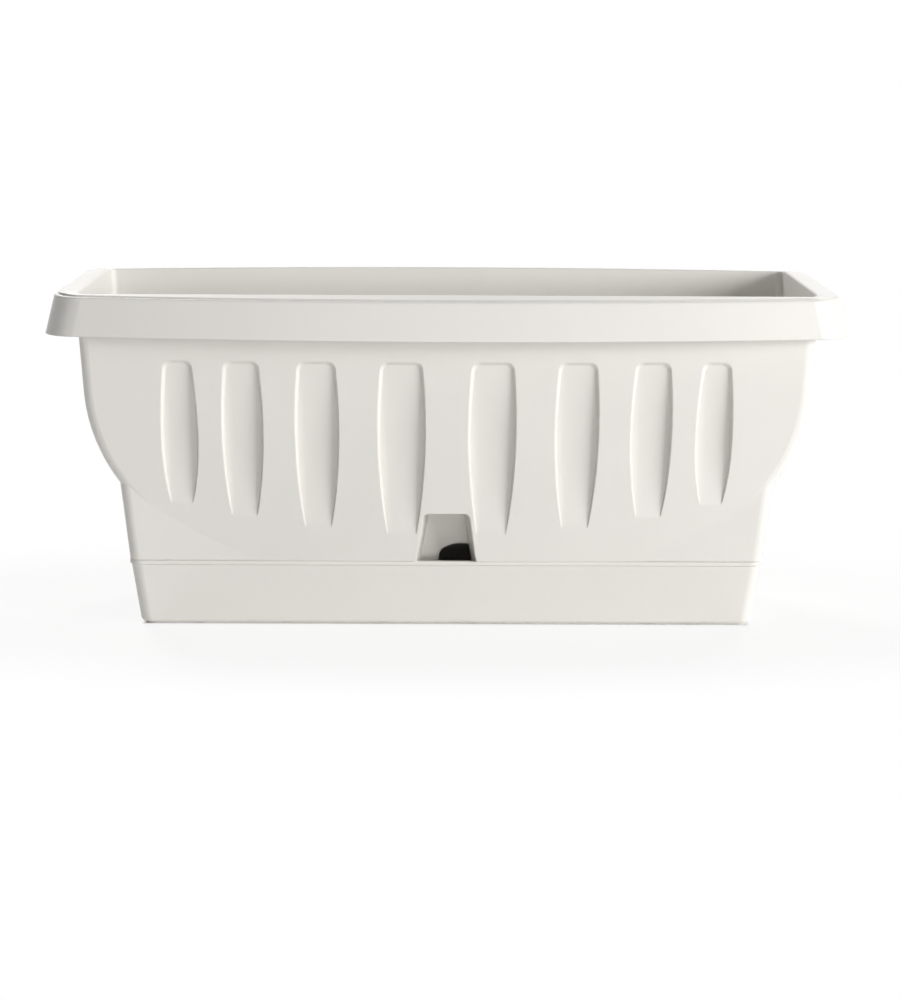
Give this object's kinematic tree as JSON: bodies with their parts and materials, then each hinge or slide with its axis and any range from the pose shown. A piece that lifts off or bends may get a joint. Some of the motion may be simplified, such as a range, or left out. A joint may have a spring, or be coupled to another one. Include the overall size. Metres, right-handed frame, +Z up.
{
  "type": "self watering planter",
  "caption": "Rectangular balcony trough with fluted bellied sides standing in a water tray, with a filling niche, soil grid and wick baskets.",
  "frame": {"origin": "under the middle of the water tray, on the surface the planter stands on", "axes": "+X along the trough, -Y towards the front with the filling niche, +Z up"},
  "size_m": [0.5, 0.2, 0.2179],
  "materials": {
    "trough_plastic": "satin moulded polypropylene, warm off-white",
    "tray_plastic": "satin moulded polypropylene, warm off-white",
    "grid_plastic": "satin moulded polypropylene, anthracite",
    "plug_rubber": "soft black rubber"
  },
  "bodies": {
    "tray": {"water_tray": "tray_plastic"},
    "trough": {"trough": "trough_plastic"},
    "grid": {"soil_grid": "grid_plastic", "wick_basket_1": "grid_plastic", "wick_basket_2": "grid_plastic", "wick_basket_3": "grid_plastic", "wick_basket_4": "grid_plastic"},
    "plug": {"drain_plug": "plug_rubber"}
  },
  "joints": [
    {"name": "trough_lift", "type": "slide", "parent": "tray", "child": "trough", "axis": [0, 0, 1], "range_m": [0, 0.06]},
    {"name": "grid_lift", "type": "slide", "parent": "trough", "child": "grid", "axis": [0, 0, 1], "range_m": [0, 0.23]},
    {"name": "plug_pull", "type": "slide", "parent": "tray", "child": "plug", "axis": [0, 0, 1], "range_m": [0, 0.02]}
  ]
}
